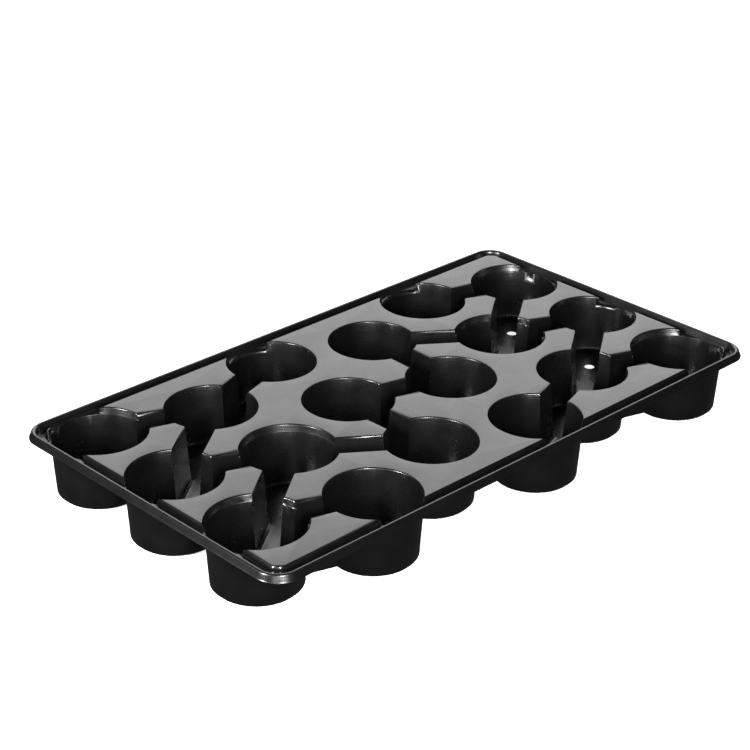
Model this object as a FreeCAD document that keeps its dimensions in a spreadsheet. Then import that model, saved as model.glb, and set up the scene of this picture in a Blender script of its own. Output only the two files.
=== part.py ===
import FreeCAD, Part
import math
import os

import Sketcher

# Thermoformed pot tray: one sheet of black plastic drawn into eighteen tapered cups, in six
# staggered columns of three. Open slots join the cups into one branching cavity. The flat
# deck between them stands in a shallow gutter, inside a raised rim with a skirt and a trim lip.
# Millimetres, +Z up. The origin is at the middle of the plane that the cup bottoms stand on.
#
# The sheet has the same thickness everywhere, so each form is made twice by one function:
# its upper side, and its under side one sheet further down. What lies between is the plastic.

doc = FreeCAD.newDocument("tray")

# ---- driving dimensions ------------------------------------------------------------------

SIZES = [
    ("tray_length", 560, "over the trim lip, along X"),
    ("tray_width", 316.4, "over the trim lip, along Y"),
    ("deck_height", 54.5, "from the cup bottoms to the deck"),
    ("sheet", 0.8, "thickness of the formed sheet"),
    ("wall_draft", 3.55, "lean of every cup and slot wall, in degrees"),
    ("end_margin", 47.25, "tray end to the first column of cup centres"),
    ("side_margin", 46, "tray side to the nearest cup centre"),
    ("stagger", 14.85, "odd columns lie this far back, even ones this far forward"),
    ("cup_radius", 39.15, "inside of a cup wall at the deck"),
    ("base_bevel", 2.5, "bevel between wall and floor"),
    ("floor_drop", 1, "a cup floor lies this far below the slot floors"),
    ("drain_radius", 4.8, "drain hole in a cup floor"),
    ("slot_width", 25, "between slot walls at the deck"),
    ("mouth_bevel", 1.2, "bevel between the deck and the cavity"),
    ("ledge_width", 1.3, "stacking ledge in six of the cups, level with the gutter floor"),
    ("corner_radius", 21.7, "plan radius of the trim lip at the tray corners"),
    ("trim_lip", 1, "flat lip that the trim cut leaves round the skirt"),
    ("skirt_drop", 4.85, "deck to the top of the trim lip"),
    ("skirt_flare", 1, "the skirt leans out this far from top to bottom"),
    ("rim_rise", 0.5, "rim top above the deck"),
    ("rim_width", 3.9, "rim from skirt to gutter, at the top"),
    ("rim_bevel", 1.1, "bevel of both rim edges"),
    ("gutter_width", 8.4, "between rim and deck, at the top"),
    ("gutter_depth", 6.1, "deck to the gutter floor"),
    ("gutter_draft", 5, "lean of both gutter walls, in degrees"),
    ("gutter_bevel", 1, "bevel at the gutter floor and at the outer edge of the deck"),
]
COLUMNS, ROWS = 6, 3
SPARE = 4  # how far a cutting solid runs past what it cuts

dims = doc.addObject("Spreadsheet::Sheet", "dims")
for row, (alias, value, meaning) in enumerate(SIZES, start=1):
    dims.set(f"A{row}", alias)
    dims.set(f"B{row}", str(value))
    dims.setAlias(f"B{row}", alias)
    dims.set(f"C{row}", meaning)
doc.recompute()

# Insets from the outline of the trim lip, in from the edge. Every ring of the rim, the gutter
# and the deck is the same rounded rectangle shrunk by one of them.
SKIRT_TOP = "dims.trim_lip + dims.skirt_flare"
RIM_INSIDE = f"{SKIRT_TOP} + dims.rim_width"
MID_GUTTER = f"{RIM_INSIDE} + dims.gutter_width / 2"
DECK_EDGE = f"{RIM_INSIDE} + dims.gutter_width"

# Levels.
TRIM_UNDER = "dims.deck_height - dims.skirt_drop - dims.sheet"
RIM_TOP = "dims.deck_height + dims.rim_rise"
GUTTER_FLOOR = "dims.deck_height - dims.gutter_depth"
SLOT_FLOOR = "dims.sheet + dims.floor_drop"

# The cup lattice.
COLUMN_PITCH = f"(dims.tray_length - 2 * dims.end_margin) / {COLUMNS - 1}"
ROW_PITCH = f"(dims.tray_width - 2 * dims.side_margin - 2 * dims.stagger) / {ROWS - 1}"


def cup_centre(cup):
    """Expressions for the x and y of a cup, named by its column and its row counted from the back."""
    column, row = cup
    side = 1 if column % 2 else -1
    x = f"{column - (COLUMNS + 1) / 2} * {COLUMN_PITCH}"
    y = f"{(ROWS + 1) / 2 - row} * {ROW_PITCH} + {side} * dims.stagger"
    return x, y


def turned(cup):
    """The cup that takes this one's place when the tray is turned half a turn."""
    return COLUMNS + 1 - cup[0], ROWS + 1 - cup[1]


CUPS = [(column, row) for column in range(1, COLUMNS + 1) for row in range(1, ROWS + 1)]
HALF_OF_SLOTS = [
    ((1, 1), (2, 1)),
    ((2, 1), (1, 2)),
    ((1, 2), (2, 2)),
    ((2, 2), (1, 3)),
    ((1, 3), (2, 3)),
    ((2, 1), (3, 1)),
    ((2, 2), (3, 3)),
    ((3, 2), (3, 3)),
]
MIDDLE_SLOT = ((3, 2), (4, 2))
SLOTS = HALF_OF_SLOTS + [(turned(a), turned(b)) for a, b in HALF_OF_SLOTS] + [MIDDLE_SLOT]
LEDGE_CUPS = [(1, 1), (1, 3), (2, 2)]
LEDGE_CUPS += [turned(cup) for cup in LEDGE_CUPS]


# ---- helpers -----------------------------------------------------------------------------


def bind(item, **expressions):
    """Ties properties of an object to expressions over the sheet. A double underscore is a dot."""
    for name, expression in expressions.items():
        item.setExpression(name.replace("__", "."), expression)
    return item


def primitive(kind, name, x="0", y="0", z="0", **sizes):
    """A Part primitive, standing at x, y, z."""
    item = doc.addObject(f"Part::{kind}", name)
    bind(item, Placement__Base__x=x, Placement__Base__y=y, Placement__Base__z=z)
    return bind(item, **sizes)


def join(name, shapes):
    item = doc.addObject("Part::MultiFuse", name)
    item.Shapes = shapes
    item.Refine = True
    return item


def combine(kind, name, base, tool):
    """A Part::Cut or Part::Common."""
    item = doc.addObject(f"Part::{kind}", name)
    item.Base, item.Tool, item.Refine = base, tool, True
    return item


def level_edges(item, level):
    """Names of the edges that lie at one height, those on the sides of the item's box left out."""
    doc.recompute()
    near, whole = 1e-3, item.Shape.BoundBox
    names = []
    for index, edge in enumerate(item.Shape.Edges, start=1):
        box = edge.BoundBox
        on_side = min(box.XMax - whole.XMin, whole.XMax - box.XMin,
                      box.YMax - whole.YMin, whole.YMax - box.YMin) < near
        if abs(box.ZMin - level) < near and abs(box.ZMax - level) < near and not on_side:
            names.append(f"Edge{index}")
    return names


def bevel_ring(body, name, level, size):
    """Bevels every edge that a body has at one height."""
    base, edges = body.Tip, level_edges(body, value(level))
    chamfer = body.newObject("PartDesign::Chamfer", name)
    chamfer.Base = (base, edges)
    bind(chamfer, Size=size)
    body.Tip = chamfer


def moved_bevel(size, way, gap):
    """A 45 degree bevel's size after the corner it cuts has moved out (+) or in (-) by gap."""
    return f"({size} {way} (2 - sqrt(2)) * {gap})"


def value(expression):
    """The number that an expression over the sheet gives."""
    return float(dims.evalExpression(expression.replace("dims.", "")))


def outline(sketch, inset):
    """Draws the trim outline shrunk by inset: a fully constrained rounded rectangle."""
    sizes = (f"dims.tray_length - 2 * ({inset})", f"dims.tray_width - 2 * ({inset})",
             f"dims.corner_radius - ({inset})")
    half_x, half_y, radius = value(sizes[0]) / 2, value(sizes[1]) / 2, value(sizes[2])
    across, along = half_x - radius, half_y - radius
    point = FreeCAD.Vector
    sides = [
        Part.LineSegment(point(-across, -half_y), point(across, -half_y)),
        Part.LineSegment(point(half_x, -along), point(half_x, along)),
        Part.LineSegment(point(across, half_y), point(-across, half_y)),
        Part.LineSegment(point(-half_x, along), point(-half_x, -along)),
    ]
    corners = []
    for turn, (side_x, side_y) in enumerate([(1, -1), (1, 1), (-1, 1), (-1, -1)]):
        start = math.radians(90 * turn - 90)
        circle = Part.Circle(point(side_x * across, side_y * along), point(0, 0, 1), radius)
        corners.append(Part.ArcOfCircle(circle, start, start + math.pi / 2))
    drawn = sketch.addGeometry(sides + corners, False)
    side, corner = drawn[:4], drawn[4:]
    rule = Sketcher.Constraint
    for turn in range(4):
        sketch.addConstraint(rule("Tangent", side[turn], 2, corner[turn], 1))
        sketch.addConstraint(rule("Tangent", corner[turn], 2, side[(turn + 1) % 4], 1))
        sketch.addConstraint(rule("Vertical" if turn % 2 else "Horizontal", side[turn]))
    for turn in range(1, 4):
        sketch.addConstraint(rule("Equal", corner[0], corner[turn]))
    sketch.addConstraint(rule("Symmetric", corner[0], 3, corner[2], 3, -1, 1))
    sized = [
        sketch.addConstraint(rule("DistanceX", side[3], 1, side[1], 1, 2 * half_x)),
        sketch.addConstraint(rule("DistanceY", side[0], 1, side[2], 1, 2 * half_y)),
        sketch.addConstraint(rule("Radius", corner[0], radius)),
    ]
    for index, size in zip(sized, sizes):
        sketch.setExpression(f"Constraints[{index}]", size)


def ring(body, kind, name, level, inset, length, lean="0", down=False):
    """Pads or pockets the trim outline, shrunk by inset, from a level up or down.

    lean is the angle by which it widens on its way."""
    sketch = body.newObject("Sketcher::SketchObject", f"{name}_outline")
    floor_plane = next(item for item in body.Origin.OriginFeatures if item.Role == "XY_Plane")
    sketch.AttachmentSupport = [(floor_plane, "")]
    sketch.MapMode = "FlatFace"
    bind(sketch, AttachmentOffset__Base__z=level)
    outline(sketch, inset)
    feature = body.newObject(f"PartDesign::{kind}", name)
    feature.Profile = sketch
    feature.Reversed = down if kind == "Pad" else not down
    bind(feature, Length=length, TaperAngle=lean)
    doc.recompute()
    body.Tip = feature
    return feature



# ---- the sheet before the cups are drawn into it ------------------------------------------


def blank(side, gap, margin):
    """Everything below the sheet as it was before the cups were drawn, its surface moved down and in by gap."""
    trim_top = f"dims.deck_height - dims.skirt_drop - {gap}"
    rim_top = f"{RIM_TOP} - {gap}"
    deck = f"dims.deck_height - {gap}"
    gutter = f"{GUTTER_FLOOR} - {gap}"
    skirt = "dims.skirt_drop + dims.rim_rise"
    body = doc.addObject("PartDesign::Body", f"blank_{side}")
    ring(body, "Pad", f"block_{side}", trim_top, margin, f"{trim_top} + {SPARE if margin != '0' else 1}", down=True)
    ring(body, "Pad", f"skirt_{side}", rim_top, f"{SKIRT_TOP} + {gap}", skirt,
         f"atan(dims.skirt_flare / ({skirt}))", down=True)
    ring(body, "Pocket", f"gutter_{side}", rim_top, f"{RIM_INSIDE} - {gap}",
         f"dims.gutter_depth + dims.rim_rise", "-dims.gutter_draft * 1deg", down=True)
    ring(body, "Pad", f"deck_{side}", deck, f"{DECK_EDGE} + {gap}", "dims.gutter_depth",
         "dims.gutter_draft * 1deg", down=True)
    bevel_ring(body, f"rim_edges_{side}", rim_top, moved_bevel("dims.rim_bevel", "-", gap))
    bevel_ring(body, f"gutter_edges_{side}", gutter, moved_bevel("dims.gutter_bevel", "+", gap))
    bevel_ring(body, f"deck_edge_{side}", deck, moved_bevel("dims.gutter_bevel", "-", gap))
    return body


# ---- the cups and slots ------------------------------------------------------------------


def cavity(side, gap):
    """The branching cavity as a solid, its surface moved down and out by gap.

    Cups and slots have the same section, in three layers: a bevel up from the floor, a wall that
    leans out, and a flared mouth. A cup turns the section about its axis and a slot draws it out
    from one cup centre to the next."""
    top = f"dims.deck_height - {gap}"
    base = moved_bevel("dims.base_bevel", "+", gap)
    mouth = moved_bevel("dims.mouth_bevel", "-", gap)

    def section(size, floor):
        """Levels and half widths from the floor up."""

        def wall(level):
            return f"{size} + {gap} - (dims.deck_height - ({level})) * tan(dims.wall_draft * 1deg)"

        knee, brow = f"{floor} + {base}", f"{top} - {mouth}"
        return [(floor, f"{wall(knee)} - {base}"), (knee, wall(knee)),
                (brow, wall(brow)), (top, f"{wall(brow)} + {mouth}")]

    def cone(name, cup, low, high):
        return primitive("Cone", f"{name}_{cup[0]}{cup[1]}_{side}", *cup_centre(cup), low[0],
                         Radius1=low[1], Radius2=high[1], Height=f"{high[0]} - ({low[0]})")

    def prism(name, start, end, low, high):
        (x1, y1), (x2, y2) = cup_centre(start), cup_centre(end)
        across, along = f"({x2} - ({x1}))", f"({y2} - ({y1}))"
        length = f"sqrt({across}^2 + {along}^2)"
        item = doc.addObject("Part::Wedge", f"{name}_{side}")
        return bind(item, Xmin="0", X2min="0", Ymin="0", Xmax=length, X2max=length,
                    Ymax=f"{high[0]} - ({low[0]})", Zmin=f"-({low[1]})", Zmax=low[1],
                    Z2min=f"-({high[1]})", Z2max=high[1],
                    Placement=f"create(<<placement>>; create(<<vector>>; {x1}; {y1}; {low[0]});"
                              f" create(<<rotation>>; atan2({along}; {across}); 0deg; 90deg))")

    cup_levels = section("dims.cup_radius", f"dims.sheet - {gap}")
    slot_levels = section("dims.slot_width / 2", f"{SLOT_FLOOR} - {gap}")
    ledge_levels = section("dims.cup_radius + dims.ledge_width", f"{GUTTER_FLOOR} - {gap} - {base}")
    parts = []
    for layer, name in enumerate(("base", "wall", "mouth")):
        for cup in CUPS:
            levels = ledge_levels if cup in LEDGE_CUPS and name == "mouth" else cup_levels
            parts.append(cone(name, cup, levels[layer], levels[layer + 1]))
        for number, (start, end) in enumerate(SLOTS, start=1):
            parts.append(prism(f"slot_{number}_{name}", start, end, slot_levels[layer], slot_levels[layer + 1]))
    for cup in LEDGE_CUPS:
        parts.append(cone("ledge", cup, ledge_levels[1], ledge_levels[2]))
    return join(f"cavity_{side}", parts)


# ---- the tray: the space between the two sides --------------------------------------------

# The cavity is cut right up through the deck, but only as high as the gutter beside the rim.
reach = doc.addObject("PartDesign::Body", "reach")
ring(reach, "Pad", "below_the_rim", f"{GUTTER_FLOOR} + dims.gutter_depth / 2", f"-{SPARE}",
     f"{GUTTER_FLOOR} + dims.gutter_depth / 2 + {2 * SPARE}", down=True)
ring(reach, "Pad", "over_the_deck", f"dims.deck_height + {2 * SPARE}", MID_GUTTER,
     f"dims.gutter_depth + {2 * SPARE}", down=True)

sides = []
for side, gap, margin in (("upper", "0", "0"), ("under", "dims.sheet", f"-{SPARE}")):
    drawn = combine("Common", f"drawn_{side}", cavity(side, gap), reach)
    sides.append(combine("Cut", f"side_{side}", blank(side, gap, margin), drawn))
shell = combine("Cut", "shell", *sides)
drains = [
    primitive("Cylinder", f"drain_{cup[0]}{cup[1]}", *cup_centre(cup), f"-{SPARE}",
              Radius="dims.drain_radius", Height=f"{SLOT_FLOOR} + {SPARE}")
    for cup in CUPS
]
tray = combine("Cut", "tray", shell, join("drains", drains))
doc.recompute()

# ---- checks and files --------------------------------------------------------------------

for item in doc.Objects:
    if "Invalid" in item.State or "Touched" in item.State:
        raise RuntimeError(f"{item.Name} did not build: {item.getStatusString()}")
if tray.Shape.isNull() or not tray.Shape.isValid() or len(tray.Shape.Solids) != 1:
    raise RuntimeError("the tray is not one valid solid")

os.makedirs("parts", exist_ok=True)
tray.Shape.exportStep("parts/tray.step")
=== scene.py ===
import math

import bmesh
import bpy
from mathutils import Matrix, Vector


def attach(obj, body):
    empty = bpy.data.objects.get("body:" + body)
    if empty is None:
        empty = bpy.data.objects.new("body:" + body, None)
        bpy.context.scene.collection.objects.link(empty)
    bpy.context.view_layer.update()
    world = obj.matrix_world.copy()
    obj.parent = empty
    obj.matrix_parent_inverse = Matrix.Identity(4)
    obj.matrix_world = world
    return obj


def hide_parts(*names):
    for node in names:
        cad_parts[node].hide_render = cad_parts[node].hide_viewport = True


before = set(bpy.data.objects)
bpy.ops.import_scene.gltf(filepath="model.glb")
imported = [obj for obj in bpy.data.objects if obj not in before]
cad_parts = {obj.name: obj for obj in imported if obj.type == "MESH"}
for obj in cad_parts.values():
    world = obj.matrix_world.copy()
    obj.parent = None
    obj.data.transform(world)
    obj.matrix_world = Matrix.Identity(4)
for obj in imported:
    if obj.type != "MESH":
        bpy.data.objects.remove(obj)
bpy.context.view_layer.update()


# ---- the tray ----------------------------------------------------------------------------
# A carrying tray for pots: eighteen tapered cups joined by slots, a flat deck, a gutter and a
# raised rim. It is one sheet of black polystyrene, heated, drawn over a mould and trimmed, so
# every edge is soft and the walls keep a satin, slightly mottled by the stretch.

MM = 0.001
DARK = (0.0018, 0.0018, 0.0020, 1)
LESS_DARK = (0.0032, 0.0032, 0.0034, 1)
PATCH_OF_TONE = 22 * MM
PATCH_OF_GLOSS = 14 * MM
GRAIN_SIZE = 0.7 * MM
GRAIN_DEPTH = 0.05 * MM
RIPPLE_LENGTH = 25 * MM
RIPPLE_PITCH = 0.8 * MM
RIPPLE_DEPTH = 0.09 * MM


def node(tree, kind, **settings):
    """A shader node with its inputs and properties set."""
    item = tree.nodes.new(kind)
    for name, setting in settings.items():
        if name in item.inputs:
            item.inputs[name].default_value = setting
        else:
            setattr(item, name, setting)
    return item


def noise(tree, place, size, detail, low, high):
    """Noise of one size in metres, spread between two values."""
    cloud = node(tree, "ShaderNodeTexNoise", Scale=1 / size, Detail=detail)
    tree.links.new(place.outputs["Object"], cloud.inputs["Vector"])
    spread = node(tree, "ShaderNodeMapRange")
    spread.inputs["From Min"].default_value = 0.3
    spread.inputs["From Max"].default_value = 0.7
    spread.inputs["To Min"].default_value = low
    spread.inputs["To Max"].default_value = high
    tree.links.new(cloud.outputs["Fac"], spread.inputs["Value"])
    return spread.outputs["Result"]


def ripples(tree, place):
    """Noise drawn out level and thin upwards, as the sheet chills in lines down the mould."""
    layers = node(tree, "ShaderNodeMapping")
    layers.inputs["Scale"].default_value = (1 / RIPPLE_LENGTH, 1 / RIPPLE_LENGTH, 1 / RIPPLE_PITCH)
    tree.links.new(place.outputs["Object"], layers.inputs["Vector"])
    chill = node(tree, "ShaderNodeTexNoise", Scale=1.0, Detail=1.0)
    tree.links.new(layers.outputs["Vector"], chill.inputs["Vector"])
    return chill.outputs["Fac"]


def black_sheet():
    """Near-black satin plastic: patchy tone and gloss, with a fine grain under faint ripples."""
    material = bpy.data.materials.new("black_sheet")
    material.use_nodes = True
    tree = material.node_tree
    shader = tree.nodes["Principled BSDF"]
    shader.inputs["IOR"].default_value = 1.55
    shader.inputs["Coat Weight"].default_value = 0.15
    shader.inputs["Coat Roughness"].default_value = 0.22
    place = node(tree, "ShaderNodeTexCoord")

    tone = node(tree, "ShaderNodeMixRGB", Color1=DARK, Color2=LESS_DARK)
    tree.links.new(noise(tree, place, PATCH_OF_TONE, 3, 0, 1), tone.inputs["Fac"])
    tree.links.new(tone.outputs["Color"], shader.inputs["Base Color"])
    tree.links.new(noise(tree, place, PATCH_OF_GLOSS, 4, 0.26, 0.31), shader.inputs["Roughness"])

    grain = node(tree, "ShaderNodeBump", Strength=0.12, Distance=GRAIN_DEPTH)
    tree.links.new(noise(tree, place, GRAIN_SIZE, 2, 0, 1), grain.inputs["Height"])
    ripple = node(tree, "ShaderNodeBump", Strength=1.0, Distance=RIPPLE_DEPTH)
    tree.links.new(ripples(tree, place), ripple.inputs["Height"])
    tree.links.new(grain.outputs["Normal"], ripple.inputs["Normal"])
    tree.links.new(ripple.outputs["Normal"], shader.inputs["Normal"])
    return material


SAME_POINT = 0.002 * MM
SAME_FLAT = math.radians(0.2)
STANDING_RISE = 2 * MM
CORNER_TURN = math.radians(36)
CORNER_ROUND = 1.6 * MM
CREASE = math.radians(62)


def stands_as_corner(edge):
    """True where an edge climbs the wall and the wall turns sharply at it."""
    rise = abs(edge.verts[0].co.z - edge.verts[1].co.z)
    return len(edge.link_faces) == 2 and rise > STANDING_RISE and edge.calc_face_angle() > CORNER_TURN


def formed_sheet(solid):
    """The solid's own surface, merged, with its standing corners rounded.

    It is shaded smooth up to the crease angle, and large flats outweigh the bevels beside them.
    """
    mesh = solid.data.copy()
    mesh.transform(solid.matrix_world)
    work = bmesh.new()
    work.from_mesh(mesh)
    bmesh.ops.remove_doubles(work, verts=work.verts, dist=SAME_POINT)
    bmesh.ops.dissolve_limit(work, angle_limit=SAME_FLAT, verts=work.verts, edges=work.edges)
    corners = [edge for edge in work.edges if stands_as_corner(edge)]
    bmesh.ops.bevel(work, geom=corners, offset=CORNER_ROUND, segments=3, profile=0.5,
                    affect="EDGES", clamp_overlap=True)
    bmesh.ops.triangulate(work, faces=[face for face in work.faces if len(face.verts) > 4])
    work.to_mesh(mesh)
    work.free()
    mesh.materials.clear()
    mesh.materials.append(black_sheet())
    mesh.shade_smooth()
    mesh.set_sharp_from_angle(angle=CREASE)

    piece = bpy.data.objects.new("formed_sheet", mesh)
    bpy.context.scene.collection.objects.link(piece)
    flats = piece.modifiers.new("flats", "WEIGHTED_NORMAL")
    flats.keep_sharp = True
    flats.weight = 100
    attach(piece, "root")
    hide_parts(solid.name)


formed_sheet(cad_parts["tray"])


# ---- the white table ---------------------------------------------------------------------
# A matt white board just under the cups. It glows only to the camera, so that it shows white
# without lighting the tray, and it is hidden from the tray's own reflections.

TABLE_SIZE = 8
TABLE_DROP = 0.2 * MM
TABLE_GLOW = 0.8


def table():
    bpy.ops.mesh.primitive_plane_add(size=TABLE_SIZE, location=(0, 0, -TABLE_DROP))
    board = bpy.context.object
    board.name = "table"
    board.visible_diffuse = False
    board.visible_glossy = False
    material = bpy.data.materials.new("table_white")
    material.use_nodes = True
    tree = material.node_tree
    shader = tree.nodes["Principled BSDF"]
    shader.inputs["Base Color"].default_value = (0.9, 0.9, 0.9, 1)
    shader.inputs["Emission Color"].default_value = (1, 1, 1, 1)
    place = node(tree, "ShaderNodeTexCoord")
    tree.links.new(noise(tree, place, 40 * MM, 2, 0.75, 0.85), shader.inputs["Roughness"])
    path = node(tree, "ShaderNodeLightPath")
    glow = node(tree, "ShaderNodeMath", operation="MULTIPLY")
    glow.inputs[1].default_value = TABLE_GLOW
    tree.links.new(path.outputs["Is Camera Ray"], glow.inputs[0])
    tree.links.new(glow.outputs["Value"], shader.inputs["Emission Strength"])
    board.data.materials.append(material)


table()


# ---- the lamps ---------------------------------------------------------------------------
# Four soft boxes aimed at the tray. A wide one behind draws the sheen over the deck, one in
# front lifts the outer walls, and two narrow strips put upright highlights in the cups.

TRAY_FOOT = (0, 0, 0)
CUP_MIDDLE = (0, 0, 0.03)
STRIP = (0.22, 0.45)


def softbox(name, centre, aim, size, watts):
    """A rectangular lamp at centre, in metres, that faces aim."""
    light = bpy.data.lights.new(name, "AREA")
    light.shape = "RECTANGLE"
    light.size, light.size_y = size
    light.energy = watts
    lamp = bpy.data.objects.new(name, light)
    facing = (Vector(aim) - Vector(centre)).to_track_quat("-Z", "Y")
    lamp.matrix_world = Matrix.Translation(centre) @ facing.to_matrix().to_4x4()
    bpy.context.scene.collection.objects.link(lamp)


softbox("back_sweep", (1.1, 1.3, 1.0), TRAY_FOOT, (2.4, 1.3), 24)
softbox("front_wall", (-1.1, -1.3, 0.5), TRAY_FOOT, (1.6, 0.9), 16)
softbox("left_strip", (-1.36, 0.20, 0.62), CUP_MIDDLE, STRIP, 40)
softbox("front_strip", (-0.77, -1.14, 0.62), CUP_MIDDLE, STRIP, 34)


# ---- the white room ----------------------------------------------------------------------
# Plain white to the camera, and a faint fill for every other ray, so that the black plastic
# stays black.

SEEN_WHITE = 1.0
FILL = 0.05


def white_room():
    world = bpy.data.worlds.new("white_room")
    world.use_nodes = True
    tree = world.node_tree
    tree.nodes.clear()
    path = node(tree, "ShaderNodeLightPath")
    seen = node(tree, "ShaderNodeBackground", Color=(1, 1, 1, 1), Strength=SEEN_WHITE)
    room = node(tree, "ShaderNodeBackground", Color=(1, 1, 1, 1), Strength=FILL)
    pick = node(tree, "ShaderNodeMixShader")
    ends = node(tree, "ShaderNodeOutputWorld")
    tree.links.new(path.outputs["Is Camera Ray"], pick.inputs["Fac"])
    tree.links.new(room.outputs["Background"], pick.inputs[1])
    tree.links.new(seen.outputs["Background"], pick.inputs[2])
    tree.links.new(pick.outputs["Shader"], ends.inputs["Surface"])
    bpy.context.scene.world = world


white_room()


# ---- the camera --------------------------------------------------------------------------
# A long lens from the front left, looking down across the deck, turned a little about its own
# axis. The angles are its bearing about Z, its height above the deck and that turn.

DECK_HEIGHT = 54.5 * MM
AIM = Vector((0.664 * MM, 31.49 * MM, DECK_HEIGHT))
DISTANCE = 1723.7 * MM
LENS = 96.41
AZIMUTH, ELEVATION, ROLL = (math.radians(angle) for angle in (-44.239, 26.810, 0.629))

lens = bpy.data.cameras.new("camera")
lens.lens = LENS
camera = bpy.data.objects.new("camera", lens)
bpy.context.scene.collection.objects.link(camera)
level = math.cos(ELEVATION)
back = Vector((math.sin(AZIMUTH) * level, -math.cos(AZIMUTH) * level, math.sin(ELEVATION)))
right = Vector((math.cos(AZIMUTH), math.sin(AZIMUTH), 0))
up = back.cross(right)
rolled_right = math.cos(ROLL) * right + math.sin(ROLL) * up
rolled_up = math.cos(ROLL) * up - math.sin(ROLL) * right
turn = Matrix((rolled_right, rolled_up, back)).transposed().to_4x4()
camera.matrix_world = Matrix.Translation(AIM + DISTANCE * back) @ turn
bpy.context.scene.camera = camera
bpy.context.scene.view_settings.view_transform = "Standard"
